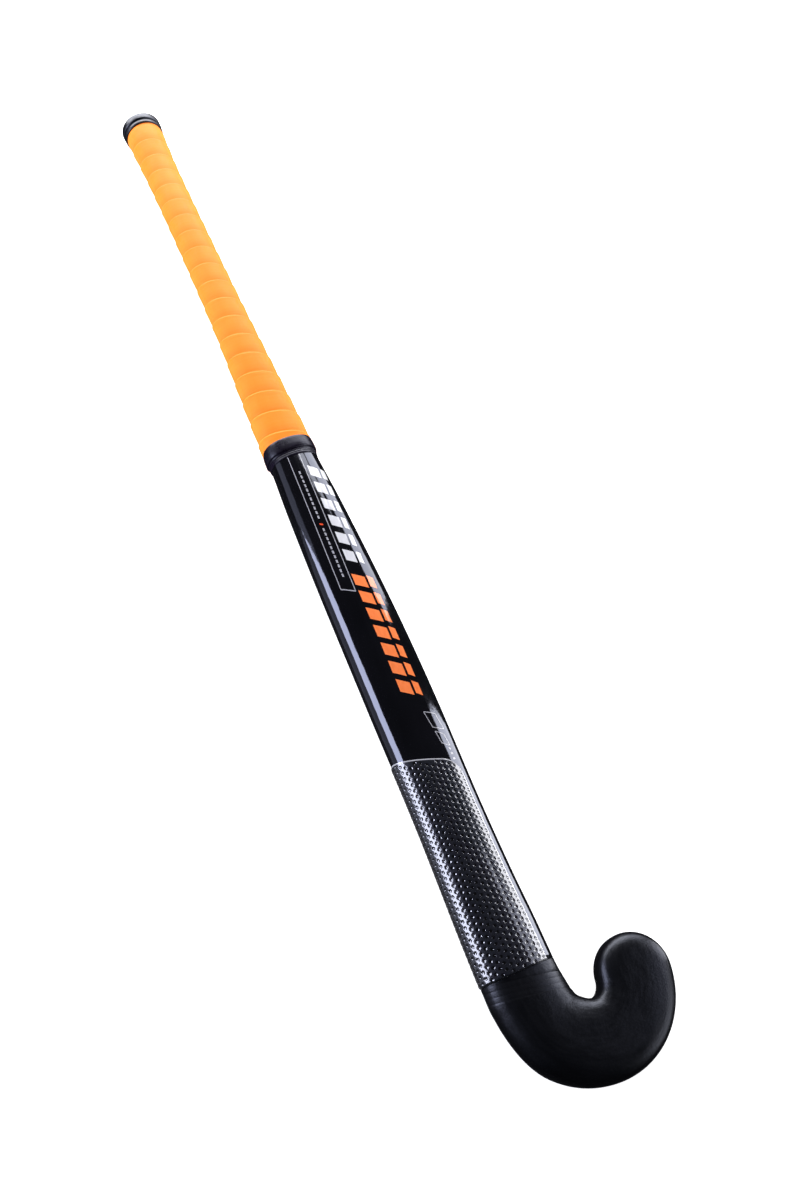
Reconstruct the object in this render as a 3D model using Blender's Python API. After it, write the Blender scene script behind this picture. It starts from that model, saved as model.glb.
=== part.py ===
"""Field hockey stick, 34 inch, wooden core, wrapped grip.

Units are metres.  The stick lies on its flat playing face:
  +Z  out of the rounded back
  +Y  from the hook towards the butt of the handle
  +X  from the shaft towards the toe of the hook
The origin is under the middle of the stick's bounding box.

Every piece is worked out from one surface, the skin of the bare stick.  A place on it is
a distance along the stick, a place across it, and a depth under the skin.  A negative
depth stands proud of the skin, as the grip and the bands do.
"""
import math

import bmesh
import bpy

# ---- driving dimensions -------------------------------------------------------------
LENGTH = 0.8636              # overall length along the shaft, 34 inches
BOW = 0.0195                 # rise of the playing face above a flat floor
BOW_START = 0.030            # the face is flat below this height
BOW_PEAK = 0.330             # height above the heel where the bow is deepest

HOOK_WIDTH = 0.0470          # stick width through the bottom of the hook
BEND_RADIUS = 0.0340         # centre line of the hook
HOOK_SWELL = 0.0031          # extra width on the inside of the hook, round the crotch
NECK_SWELL = 0.0006          # the same above the neck
HEEL_TRIM = 0.0016           # the outside is cut back a little where the bend begins
TOE_ANGLE = math.radians(170)
TOE_SHOULDER = 1.2           # the back grows squarer towards the toe
NECK = 0.0775                # height where the matt head ends and the gloss shaft begins

SKIN = 0.0011                # glass-fibre and paint skin round the wood
GAP = 0.0003                 # clearance between touching pieces
GLUE = 0.0007                # glue line between the wood and its skin
TOE_RIM = 0.985              # the wood fills this part of the toe's half round
WOOD_EDGE = 0.93             # share of the half-width where the wood's back and face stop
WOOD_SIDE = 0.97             # share of the half-width of the rounded edge between them

# Height above the heel, full width, full thickness of the bare stick.
STATIONS = (
    (0.0575, 0.0486, 0.0210),
    (0.1000, 0.0479, 0.0212),
    (0.1800, 0.0451, 0.0216),
    (0.2600, 0.0463, 0.0222),
    (0.3400, 0.0450, 0.0224),
    (0.4200, 0.0406, 0.0220),
    (0.4700, 0.0356, 0.0214),
    (0.5300, 0.0316, 0.0216),
    (0.6000, 0.0275, 0.0226),
    (0.6600, 0.0257, 0.0234),
    (0.7400, 0.0249, 0.0247),
    (0.8000, 0.0256, 0.0256),
    (0.8400, 0.0282, 0.0282),
    (LENGTH, 0.0290, 0.0290),
)

FLARE = 0.770                # the handle swells from here to the butt
HANDLE_ROUND = 0.620         # above this height the section is a plain oval
FACE_FLAT = 0.430            # below this height the section is a full D

LAMINATIONS = 5
SPLICE_TIP = 0.098           # the handle's wedge is driven into the head down to here
SPLICE_TOP = 0.205
STAVES = ("left", "centre", "right")

GRIP_BOTTOM = 0.4705
GRIP_PITCH = 0.0202
GRIP_THICKNESS = 0.0014
GRIP_LAP = 0.0006            # extra height where one turn laps the turn before
GRIP_TAIL = 0.0020           # width of the strip where it is cut to a point at each end

TAPE_BOTTOM = 0.4640
TAPE_TOP = 0.4800
TAPE_THICKNESS = 0.0004
TAPE_STEP = 0.0012           # length of the slope where the tape comes down off the grip
TAPE_FOOT = 0.0022           # width of the turn on the bare shaft

BAND_COUNT = 3
BAND_WIDTH = 0.0040
BAND_RECESS = 0.0005
BAND_PROUD = 0.0003
BAND_CROWN = 0.0002          # fall of a band's rounded edge
BAND_EDGE = 0.0006           # width of a band's rounded edge
BAND_BOTTOM = 0.0640

FILM_BOTTOM = 0.0795
FILM_TOP = 0.2150
FILM_SLANT = -0.33           # the upper edge drops towards the toe side
FILM_THICKNESS = 0.0004
FILM_START = math.radians(44.5)    # one edge of the film, towards the toe side of the back
FILM_END = math.radians(-248)      # the other, after going round the heel side and the face
FILM_STEPS = 22

CAP_HEIGHT = 0.0118
CAP_RADIUS = 0.0175
CAP_TOP = 0.0050             # thickness of the closed end
CAP_CROWN = 0.0080           # the flat end runs this far in from the rim
CAP_GROOVE = 0.0010
CAP_LIP = 0.0003             # the lip below the groove is this much slimmer

AROUND = 24                  # corners in a full ring

# ---- derived dimensions -------------------------------------------------------------
HOOK_HALF = HOOK_WIDTH / 2
BEND_Y = BEND_RADIUS + HOOK_HALF
NECK_HALF = STATIONS[0][1] / 2
CAP_BOTTOM = LENGTH - CAP_HEIGHT
BUTT_RADIUS = STATIONS[-1][1] / 2
BUTT_LIFT = CAP_RADIUS - BUTT_RADIUS
WOOD_DEPTH = SKIN + GLUE
ORIGIN = (-(2 * BEND_RADIUS + HOOK_HALF - NECK_HALF) / 2, -LENGTH / 2, 0.0)


# ---- the stick's own surface ---------------------------------------------------------
def ease(value, start, end):
    """Smooth step from 0 at start to 1 at end."""
    t = min(1.0, max(0.0, (value - start) / (end - start)))
    return t * t * (3 - 2 * t)


def between_stations(height, column):
    """Catmull-Rom curve through one column of STATIONS."""
    last = len(STATIONS) - 1
    height = min(max(height, STATIONS[0][0]), STATIONS[last][0])
    k = next(i for i in range(last) if height <= STATIONS[i + 1][0])

    def slope(i):
        low, high = STATIONS[max(i - 1, 0)], STATIONS[min(i + 1, last)]
        return (high[column] - low[column]) / (high[0] - low[0])

    span = STATIONS[k + 1][0] - STATIONS[k][0]
    t = (height - STATIONS[k][0]) / span
    start, end = STATIONS[k][column], STATIONS[k + 1][column]
    return (
        (2 * t**3 - 3 * t**2 + 1) * start
        + (t**3 - 2 * t**2 + t) * span * slope(k)
        + (3 * t**2 - 2 * t**3) * end
        + (t**3 - t**2) * span * slope(k + 1)
    )


def face_height(y):
    """Height of the playing face above the floor."""
    rise = ease(y, BOW_START, BOW_PEAK)
    if y > BOW_PEAK:
        rise = 1 - ((y - BOW_PEAK) / (LENGTH - BOW_PEAK)) ** 2
    return BOW * rise + BUTT_LIFT * ease(y, FACE_FLAT, LENGTH)


def hook_edges(along):
    """Extra width on the inside of the hook and width taken off its outside."""
    turn = math.degrees(-along / BEND_RADIUS)
    swell = HOOK_SWELL * ease(turn, -34, 12) * (1 - ease(turn, 55, 126))
    swell += NECK_SWELL * ease(turn, -135, -65) * (1 - ease(turn, -34, 0))
    trim = HEEL_TRIM * ease(turn, -14, 12) * (1 - ease(turn, 14, 45))
    return swell, trim


def section(along):
    """Half-width, thickness above and below the widest line, and the two roundness powers.

    along is measured from the start of the bend: positive up the shaft, negative round
    the hook.
    """
    height = BEND_Y + max(along, 0.0)
    half = between_stations(height, 1) / 2
    thickness = between_stations(height, 2)
    if along < 0:
        angle = min(-along / BEND_RADIUS, math.pi / 2)
        half += (HOOK_HALF - half) * ease(angle, 0.0, math.pi / 2)
    swell, trim = hook_edges(along)
    half += (swell - trim) / 2
    flat = 1 - ease(height, FACE_FLAT, HANDLE_ROUND)
    below = thickness * (0.5 - 0.16 * flat)
    power_above = 2 + 0.25 * flat + TOE_SHOULDER * ease(math.degrees(-along / BEND_RADIUS), 20, 110)
    return half, thickness - below, below, power_above, 2 + 4 * flat, flat


def centre_line(along):
    """Place on the centre line and the direction across it, towards the inside of the hook."""
    if along >= 0:
        return (0.0, BEND_Y + along), (1.0, 0.0)
    angle = min(-along / BEND_RADIUS, TOE_ANGLE)
    across = (math.cos(angle), math.sin(angle))
    x = BEND_RADIUS - BEND_RADIUS * across[0]
    y = BEND_Y - BEND_RADIUS * across[1]
    past = -along - TOE_ANGLE * BEND_RADIUS
    if past > 0:
        x += past * across[1]
        y -= past * across[0]
    return (x, y), across


def surface(along, across, side, depth=0.0, past=0.0):
    """Point at a lateral offset, on the back (side +1) or the face (side -1).

    past is the distance beyond the end of the bend, where the toe closes in a half round.
    """
    half, above, below, power_above, power_below, flat = section(along)
    half, above, below = half - depth, above - depth, below - depth
    (x, y), direction = centre_line(along - past)
    across_centre = across + sum(hook_edges(along)) / 2
    x += across_centre * direction[0]
    y += across_centre * direction[1]
    out = min(1.0, math.hypot(across, past) / half)
    if side > 0:
        z = above * max(0.0, 1 - out**power_above) ** (1 / power_above)
    else:
        full = 1 + 0.04 * flat
        z = -below * min(1.0, full * max(0.0, 1 - out**power_below) ** (1 / power_below))
    widest = section(along)[2]
    return (x, y, face_height(y) + widest + z)


def across_at(angle, half, side, power):
    """Lateral place of one ring corner: 0 is the middle of the back, positive the toe side."""
    sine = math.sin(angle)
    if side > 0:
        return half * sine
    return half * math.copysign(abs(sine) ** (2 / power), sine)


def ring(along, depth=0.0, past=0.0):
    """Closed ring of corners round the stick."""
    half, _, _, _, power_below, _ = section(along)
    half -= depth
    reach = math.sqrt(max(0.0, half * half - past * past))
    corners = []
    for k in range(AROUND):
        angle = -math.pi / 2 + 2 * math.pi * k / AROUND
        side = 1 if k <= AROUND // 2 else -1
        across = across_at(angle, reach, side, power_below)
        corners.append(surface(along, across, side, depth, past))
    return corners


def shaft_ring(height, depth=0.0):
    return ring(height - BEND_Y, depth)


# ---- solids from rings --------------------------------------------------------------
def make_material(name, colour, roughness, alpha=1.0):
    material = bpy.data.materials.new(name)
    material.use_nodes = True
    shader = material.node_tree.nodes["Principled BSDF"]
    shader.inputs["Base Color"].default_value = (*colour, 1.0)
    shader.inputs["Roughness"].default_value = roughness
    shader.inputs["Alpha"].default_value = alpha
    return material


def loft(name, rings, material, loop=False, smooth_angle=40):
    """Join equal rings into one closed solid: a hoop with loop, or else capped at both ends."""
    mesh = bmesh.new()
    rows = [[mesh.verts.new(point) for point in corners] for corners in rings]
    count = len(rings[0])
    steps = len(rows) if loop else len(rows) - 1
    for i in range(steps):
        lower, upper = rows[i], rows[(i + 1) % len(rows)]
        for k in range(count):
            j = (k + 1) % count
            mesh.faces.new((lower[k], lower[j], upper[j], upper[k]))
    if not loop:
        for row in (rows[0], rows[-1]):
            middle = count // 2
            mesh.faces.new((row[0], row[1], row[-1]))
            mesh.faces.new((row[middle - 1], row[middle], row[middle + 1]))
            for k in range(1, middle - 1):
                mesh.faces.new((row[k], row[k + 1], row[count - 1 - k], row[count - k]))
    bmesh.ops.recalc_face_normals(mesh, faces=mesh.faces)
    data = bpy.data.meshes.new(name)
    mesh.to_mesh(data)
    mesh.free()
    data.shade_smooth()
    data.set_sharp_from_angle(angle=math.radians(smooth_angle))
    data.materials.append(material)
    piece = bpy.data.objects.new(name, data)
    piece.parent = stick_frame
    bpy.context.collection.objects.link(piece)


def steps_between(start, end, longest):
    """Evenly spaced values from start to end, no further apart than longest."""
    count = max(1, math.ceil(abs(end - start) / longest))
    return [start + (end - start) * k / count for k in range(count + 1)]


def neck_heights():
    """Ring heights under the neck bands, from the top down."""
    return steps_between(NECK, BAND_BOTTOM - GAP, 0.0035)


def hook_places(depth):
    """Places from the bend's start round to the tip of the toe, as (along, past)."""
    bend_end = -TOE_ANGLE * BEND_RADIUS
    places = [(along, 0.0) for along in steps_between(0.0, bend_end, BEND_RADIUS * math.radians(10))]
    reach = HOOK_HALF - depth
    for turn in (15, 30, 45, 58, 70, 80, 87):
        places.append((bend_end, reach * math.sin(math.radians(turn))))
    return places


# ---- pieces --------------------------------------------------------------------------
def make_head_sleeve():
    """Matt glass-fibre sock over the hook, necked down under the bands."""
    shoulder = BAND_BOTTOM - 2 * GAP
    outer = [shaft_ring(height, BAND_RECESS) for height in neck_heights()] + [shaft_ring(shoulder)]
    outer += [ring(along, 0.0, past) for along, past in hook_places(0.0)]
    inner = [shaft_ring(height, SKIN) for height in neck_heights() + [shoulder]]
    inner += [ring(along, SKIN, past) for along, past in hook_places(SKIN)]
    material = make_material("matt_head_paint", (0.012, 0.012, 0.014), 0.45)
    loft("head_sleeve", outer[::-1] + inner, material)


def make_shaft_sleeve():
    """Gloss glass-fibre tube from the neck up into the butt cap."""
    top = LENGTH - CAP_TOP - GAP
    heights = steps_between(NECK + GAP, SPLICE_TOP, 0.027) + handle_heights(top)
    outer = [shaft_ring(height) for height in heights]
    inner = [shaft_ring(height, SKIN) for height in reversed(heights)]
    material = make_material("gloss_shaft_lacquer", (0.006, 0.006, 0.008), 0.10)
    loft("shaft_sleeve", outer + inner, material, loop=True)


def handle_heights(top):
    """Ring heights above the splice, closer together where the butt flares."""
    return steps_between(SPLICE_TOP, FLARE, 0.033)[1:] + steps_between(FLARE, top, 0.014)[1:]


def splice_place(share):
    """Where the V joint between head and handle crosses a share of the half-width."""
    return SPLICE_TIP + abs(share) * (SPLICE_TOP - SPLICE_TIP) - BEND_Y


def slice_ring(along, shares, toe_share=None, splice_share=None, start=0.0):
    """Ring round one strip of wood, whose two sides lie at shares of the half-width.

    splice_share runs from the start place to the V joint; toe_share from the end of the
    bend to the rim of the toe.
    """

    def place(share, inset, side):
        past, spot = 0.0, along
        if splice_share is not None:
            spot = start + splice_share * (splice_place(share) - start)
        half = section(spot)[0] - WOOD_DEPTH
        rounded_side = abs(share) == 1 and side == 0
        across = share * half * (WOOD_SIDE if rounded_side else WOOD_EDGE) + inset
        if toe_share is not None:
            past = toe_share * math.sqrt((half * TOE_RIM) ** 2 - across**2)
        if side:
            return surface(spot, across, side, WOOD_DEPTH, past)
        back = surface(spot, across, 1, WOOD_DEPTH, past)
        face = surface(spot, across, -1, WOOD_DEPTH, past)
        return tuple((a + b) / 2 for a, b in zip(back, face))

    insets = [0.0] * len(shares)
    insets[0] = 0.0 if shares[0] == -1 else GAP / 2
    insets[-1] = 0.0 if shares[-1] == 1 else -GAP / 2
    back = [place(share, inset, 1) for share, inset in zip(shares, insets)]
    face = [place(share, inset, -1) for share, inset in zip(shares, insets)]
    low_side = place(shares[0], insets[0], 0)
    high_side = place(shares[-1], insets[-1], 0)
    return [low_side] + back + [high_side] + face[::-1]


def strip_shares(low, high):
    """Lateral sample places of one strip, closer together at the stick's rounded edges."""
    low_turn, high_turn = math.asin(low), math.asin(high)
    return [low] + [math.sin(low_turn + (high_turn - low_turn) * k / 3) for k in (1, 2)] + [high]


def make_head_laminations():
    """Strips of mulberry steamed round the hook and glued side by side."""
    bend_end = -TOE_ANGLE * BEND_RADIUS
    for k in range(LAMINATIONS):
        shares = strip_shares(2 * k / LAMINATIONS - 1, 2 * (k + 1) / LAMINATIONS - 1)
        rings = [slice_ring(bend_end, shares, toe_share=t) for t in (1.0, 0.85, 0.55, 0.25)]
        for along in reversed(steps_between(0.0, bend_end, BEND_RADIUS * math.radians(10))):
            rings.append(slice_ring(along, shares))
        for height in reversed(neck_heights()):
            rings.append(slice_ring(height - BEND_Y, shares))
        for t in (0.25, 0.5, 0.75, 1.0):
            rings.append(slice_ring(0.0, shares, splice_share=t, start=NECK - BEND_Y))
        shade = 0.04 * (k % 2)
        material = make_material(f"mulberry_{k + 1}", (0.52 + shade, 0.36 + shade, 0.19 + shade), 0.6)
        loft(f"head_lamination_{k + 1}", rings, material)


def make_handle_staves():
    """Three staves glued into the handle, pointed to fit the V in the head."""
    straight = [height - BEND_Y for height in handle_heights(LENGTH - CAP_TOP - GAP)]
    joint_angle = math.atan(between_stations(SPLICE_TOP, 1) / 2 / (SPLICE_TOP - SPLICE_TIP))
    joint_gap = 1.2 * GAP / math.sin(joint_angle)
    count = len(STAVES)
    for k, side in enumerate(STAVES):
        shares = strip_shares(2 * k / count - 1, 2 * (k + 1) / count - 1)
        rings = []
        for t in (1.0, 0.8, 0.6, 0.4, 0.2):
            corners = slice_ring(0.0, shares, splice_share=t, start=straight[0])
            rings.append([lift(point, joint_gap) for point in corners] if t == 1.0 else corners)
        rings += [slice_ring(along, shares) for along in straight]
        shade = 0.05 * (k % 2)
        material = make_material(f"handle_wood_{side}", (0.58 + shade, 0.42 + shade, 0.24), 0.6)
        loft(f"handle_stave_{side}", rings, material)


def lift(point, amount):
    """Move a point up the stick."""
    return (point[0], point[1] + amount, point[2])


def make_grip():
    """One strip wound down the handle from the cap, each turn lapping the turn before."""
    top = CAP_BOTTOM - GAP
    turns = (top - GRIP_BOTTOM - 2 * GRIP_TAIL - GAP) / GRIP_PITCH + 1
    steps = math.floor(turns * AROUND)
    rings = []
    for k in range(steps + 1):
        angle = 2 * math.pi * k / AROUND
        low = top - GRIP_TAIL - GRIP_PITCH * angle / (2 * math.pi)
        high = min(top, low + GRIP_PITCH - GAP)
        low = max(GRIP_BOTTOM, low)
        lapped = -(GAP + GRIP_THICKNESS + GRIP_LAP)
        plain = -(GAP + GRIP_THICKNESS)
        rings.append([
            grip_point(angle, high, -GAP),
            grip_point(angle, high, lapped),
            grip_point(angle, low, plain),
            grip_point(angle, low, -GAP),
        ])
    material = make_material("orange_grip", (0.93, 0.30, 0.03), 0.65)
    loft("grip_tape", rings, material, smooth_angle=30)


def grip_point(angle, height, depth):
    """Point at an angle round the stick; 0 is the middle of the back, a quarter turn the toe side."""
    along = height - BEND_Y
    half, _, _, _, power_below, _ = section(along)
    side = 1 if math.cos(angle) >= 0 else -1
    across = across_at(angle, half - depth, side, power_below)
    return surface(along, across, side, depth)


def hoop(name, profile, material):
    """Closed hoop round the shaft from a closed profile of (height, depth)."""
    loft(name, [shaft_ring(height, depth) for height, depth in profile], material, loop=True)


def make_finishing_tape():
    """Vinyl tape over the end of the grip, stepping down on to the shaft."""
    over_grip = -(2 * GAP + GRIP_THICKNESS + GRIP_LAP)
    over_shaft = -GAP
    step = GRIP_BOTTOM - GAP
    profile = (
        (TAPE_TOP, over_grip),
        (step, over_grip),
        (step, over_shaft),
        (TAPE_BOTTOM, over_shaft),
        (TAPE_BOTTOM, over_shaft - TAPE_THICKNESS),
        (TAPE_BOTTOM + TAPE_FOOT, over_shaft - 1.5 * TAPE_THICKNESS),
        (step - TAPE_STEP, over_grip + TAPE_THICKNESS),
        (step, over_grip - TAPE_THICKNESS),
        (TAPE_TOP, over_grip - TAPE_THICKNESS),
    )
    material = make_material("black_vinyl_tape", (0.012, 0.012, 0.014), 0.28)
    hoop("finishing_tape", profile, material)


def make_neck_bands():
    """Narrow binding turns in the recess of the head sleeve."""
    for k in range(BAND_COUNT):
        low = BAND_BOTTOM + k * (BAND_WIDTH + GAP)
        high = low + BAND_WIDTH
        inside = BAND_RECESS - GAP
        profile = (
            (low, inside),
            (low, BAND_CROWN - BAND_PROUD),
            (low + BAND_EDGE, -BAND_PROUD),
            (high - BAND_EDGE, -BAND_PROUD),
            (high, BAND_CROWN - BAND_PROUD),
            (high, inside),
        )
        material = make_material(f"band_tape_{k + 1}", (0.014, 0.014, 0.016), 0.4)
        hoop(f"neck_band_{k + 1}", profile, material)


def make_dimple_film():
    """Clear protective film wrapped round the lower shaft, open down the toe side."""
    outer, inner = [], []
    for angle in [FILM_START + (FILM_END - FILM_START) * k / FILM_STEPS for k in range(FILM_STEPS + 1)]:
        across = math.sin(angle) * between_stations(FILM_TOP, 1) / 2
        top = FILM_TOP + FILM_SLANT * across
        column = steps_between(FILM_BOTTOM, top, 0.023)
        outer.append([grip_point(angle, y, -GAP - FILM_THICKNESS) for y in column])
        inner.append([grip_point(angle, y, -GAP) for y in column])
    rings = [over + under[::-1] for over, under in zip(outer, inner)]
    material = make_material("clear_film", (0.30, 0.30, 0.32), 0.2, alpha=0.4)
    loft("dimple_film", rings, material)


def make_butt_cap():
    """Rubber cup pushed over the end of the handle, with a groove above its lip."""
    bore = -GAP
    lip = BUTT_RADIUS - CAP_RADIUS
    profile = (
        (LENGTH, lip + CAP_CROWN),
        (LENGTH, lip + 0.0014),
        (LENGTH - 0.0004, lip + 0.0006),
        (LENGTH - 0.0014, lip),
        (LENGTH - 0.0068, lip),
        (LENGTH - 0.0074, lip + CAP_GROOVE),
        (LENGTH - 0.0092, lip + CAP_GROOVE),
        (LENGTH - 0.0098, lip + CAP_LIP),
        (CAP_BOTTOM, lip + CAP_LIP),
        (CAP_BOTTOM, bore),
        (LENGTH - CAP_TOP, bore),
    )
    rings = [shaft_ring(height, depth) for height, depth in profile]
    loft("butt_cap", rings, make_material("black_rubber", (0.015, 0.015, 0.018), 0.5))


for leftover in list(bpy.data.objects):
    bpy.data.objects.remove(leftover)

stick_frame = bpy.data.objects.new("stick_frame", None)
stick_frame.location = ORIGIN
bpy.context.collection.objects.link(stick_frame)

make_head_sleeve()
make_shaft_sleeve()
make_head_laminations()
make_handle_staves()
make_neck_bands()
make_dimple_film()
make_grip()
make_finishing_tape()
make_butt_cap()
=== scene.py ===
"""Looks of the field hockey stick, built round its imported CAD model.

Every surface comes from the skin of the bare stick, as in the CAD model.  A place on it is a
distance along the stick, a place round it and a depth under the skin; a negative depth stands
proud.  Angle 0 is the middle of the rounded back and a quarter turn is the toe side.
Lengths are metres.  Heights are measured from the heel towards the butt.
"""
import math

import bmesh
import bpy
import numpy as np
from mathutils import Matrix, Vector


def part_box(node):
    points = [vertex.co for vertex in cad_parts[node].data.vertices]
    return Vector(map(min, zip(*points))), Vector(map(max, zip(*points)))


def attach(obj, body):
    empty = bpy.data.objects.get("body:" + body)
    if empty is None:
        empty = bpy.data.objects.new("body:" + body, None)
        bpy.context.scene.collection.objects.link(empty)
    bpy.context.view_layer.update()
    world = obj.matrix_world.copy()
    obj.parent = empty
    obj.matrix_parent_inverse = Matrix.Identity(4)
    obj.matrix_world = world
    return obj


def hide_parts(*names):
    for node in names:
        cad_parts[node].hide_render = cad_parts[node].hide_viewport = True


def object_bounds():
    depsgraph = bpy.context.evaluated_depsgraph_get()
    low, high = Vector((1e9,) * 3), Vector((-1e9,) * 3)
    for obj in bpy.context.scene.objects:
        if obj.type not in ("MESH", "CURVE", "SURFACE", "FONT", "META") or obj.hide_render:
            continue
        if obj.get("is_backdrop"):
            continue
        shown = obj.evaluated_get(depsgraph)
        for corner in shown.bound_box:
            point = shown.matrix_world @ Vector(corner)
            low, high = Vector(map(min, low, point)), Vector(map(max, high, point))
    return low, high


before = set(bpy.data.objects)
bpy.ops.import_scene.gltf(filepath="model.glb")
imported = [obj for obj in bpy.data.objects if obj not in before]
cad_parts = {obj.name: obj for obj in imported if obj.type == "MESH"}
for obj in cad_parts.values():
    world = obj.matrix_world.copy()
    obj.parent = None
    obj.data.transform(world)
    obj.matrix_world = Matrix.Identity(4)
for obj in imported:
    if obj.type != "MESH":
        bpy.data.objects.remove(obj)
cad_low, cad_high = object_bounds()

# ---- places taken from the frame ------------------------------------------------------
HEEL_Y = cad_low.y
LENGTH = cad_high.y - cad_low.y
cap_low, cap_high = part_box("butt_cap")
SHAFT_X = (cap_low.x + cap_high.x) / 2
CAP_RADIUS = (cap_high.x - cap_low.x) / 2
CAP_BOTTOM = cap_low.y - HEEL_Y


def heights_of(node):
    """Lowest and highest height of a CAD node above the heel."""
    low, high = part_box(node)
    return low.y - HEEL_Y, high.y - HEEL_Y


NECK = heights_of("head_sleeve")[1]
SHAFT_TOP = heights_of("shaft_sleeve")[1]
GRIP_BOTTOM, GRIP_TOP = heights_of("grip_tape")
TAPE_BOTTOM, TAPE_TOP = heights_of("finishing_tape")
FILM_BOTTOM = NECK + 0.0002

# ---- the bare stick, as in the CAD model ------------------------------------------------
ROUNDING = 1e-14             # less than this is rounding, which a root would make 0.02 mm
BOW, BOW_START, BOW_PEAK = 0.0195, 0.030, 0.330
HOOK_WIDTH, BEND_RADIUS = 0.0470, 0.0340
HOOK_SWELL, NECK_SWELL, HEEL_TRIM = 0.0031, 0.0006, 0.0016
TOE_ANGLE, TOE_SHOULDER = math.radians(170), 1.2
HANDLE_ROUND, FACE_FLAT = 0.620, 0.430
SKIN, GAP = 0.0011, 0.0003
# Height above the heel, full width, full thickness.
STATIONS = np.array((
    (0.0575, 0.0486, 0.0210),
    (0.1000, 0.0479, 0.0212),
    (0.1800, 0.0451, 0.0216),
    (0.2600, 0.0463, 0.0222),
    (0.3400, 0.0450, 0.0224),
    (0.4200, 0.0406, 0.0220),
    (0.4700, 0.0356, 0.0214),
    (0.5300, 0.0316, 0.0216),
    (0.6000, 0.0275, 0.0226),
    (0.6600, 0.0257, 0.0234),
    (0.7400, 0.0249, 0.0247),
    (0.8000, 0.0256, 0.0256),
    (0.8400, 0.0282, 0.0282),
    (0.8636, 0.0290, 0.0290),
))
HOOK_HALF = HOOK_WIDTH / 2
BEND_Y = BEND_RADIUS + HOOK_HALF
BEND_END = -TOE_ANGLE * BEND_RADIUS
BUTT_RADIUS = STATIONS[-1, 1] / 2
BUTT_LIFT = CAP_RADIUS - BUTT_RADIUS


def ease(value, start, end):
    """Smooth step from 0 at start to 1 at end."""
    t = np.clip((value - start) / (end - start), 0.0, 1.0)
    return t * t * (3 - 2 * t)


def between_stations(height, column):
    """Catmull-Rom curve through one column of STATIONS."""
    heights, values = STATIONS[:, 0], STATIONS[:, column]
    index = np.arange(len(heights))
    low, high = np.maximum(index - 1, 0), np.minimum(index + 1, index[-1])
    slopes = (values[high] - values[low]) / (heights[high] - heights[low])
    height = np.clip(height, heights[0], heights[-1])
    k = np.clip(np.searchsorted(heights, height) - 1, 0, index[-1] - 1)
    span = heights[k + 1] - heights[k]
    t = (height - heights[k]) / span
    return (
        (2 * t**3 - 3 * t**2 + 1) * values[k]
        + (t**3 - 2 * t**2 + t) * span * slopes[k]
        + (3 * t**2 - 2 * t**3) * values[k + 1]
        + (t**3 - t**2) * span * slopes[k + 1]
    )


def face_height(y):
    """Height of the playing face above the floor."""
    rise = ease(y, BOW_START, BOW_PEAK)
    fall = 1 - ((y - BOW_PEAK) / (LENGTH - BOW_PEAK)) ** 2
    return BOW * np.where(y > BOW_PEAK, fall, rise) + BUTT_LIFT * ease(y, FACE_FLAT, LENGTH)


def hook_edges(along):
    """Extra width on the inside of the hook and width taken off its outside."""
    turn = np.degrees(-along / BEND_RADIUS)
    swell = HOOK_SWELL * ease(turn, -34, 12) * (1 - ease(turn, 55, 126))
    swell = swell + NECK_SWELL * ease(turn, -135, -65) * (1 - ease(turn, -34, 0))
    trim = HEEL_TRIM * ease(turn, -14, 12) * (1 - ease(turn, 14, 45))
    return swell, trim


def section(along):
    """Half-width, thickness above and below the widest line, two roundness powers, flatness.

    along is measured from the start of the bend: positive up the shaft, negative round
    the hook.
    """
    height = BEND_Y + np.maximum(along, 0.0)
    half = between_stations(height, 1) / 2
    thickness = between_stations(height, 2)
    angle = np.clip(-along / BEND_RADIUS, 0.0, math.pi / 2)
    half = half + (HOOK_HALF - half) * ease(angle, 0.0, math.pi / 2)
    swell, trim = hook_edges(along)
    half = half + (swell - trim) / 2
    flat = 1 - ease(height, FACE_FLAT, HANDLE_ROUND)
    below = thickness * (0.5 - 0.16 * flat)
    turn = np.degrees(-along / BEND_RADIUS)
    power_above = 2 + 0.25 * flat + TOE_SHOULDER * ease(turn, 20, 110)
    return half, thickness - below, below, power_above, 2 + 4 * flat, flat


def side_height(out, power):
    """Height of a rounded side, from 1 in the middle to 0 at the widest line."""
    left = 1 - out**power
    return np.where(left > ROUNDING, left, 0.0) ** (1 / power)


def skin(along, across, side, depth=0.0, past=0.0):
    """Points of the skin and their lay: along the fibres, across them and up.

    side is 1 on the back and -1 on the face; past is the distance beyond the end of the
    bend, where the toe closes in a half round.
    """
    along, across, side, depth, past = np.broadcast_arrays(along, across, side, depth, past)
    half, above, below, power_above, power_below, flat = section(along)
    widest = below
    half, above, below = half - depth, above - depth, below - depth
    out = np.minimum(1.0, np.hypot(across, past) / half)
    back = above * side_height(out, power_above)
    face = below * np.minimum(1.0, (1 + 0.04 * flat) * side_height(out, power_below))
    z = np.where(side > 0, back, -face)
    run = along - past
    angle = np.clip(-run / BEND_RADIUS, 0.0, TOE_ANGLE)
    beyond = np.maximum(0.0, -run - TOE_ANGLE * BEND_RADIUS)
    x = BEND_RADIUS * (1 - np.cos(angle)) + beyond * np.sin(angle)
    y = BEND_Y + np.maximum(run, 0.0) - BEND_RADIUS * np.sin(angle) - beyond * np.cos(angle)
    offset = across + sum(hook_edges(along)) / 2
    x = x + offset * np.cos(angle)
    y = y + offset * np.sin(angle)
    points = np.stack([x + SHAFT_X, y + HEEL_Y, face_height(y) + widest + z], axis=-1)
    return points, np.stack([run, across, z], axis=-1)


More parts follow.
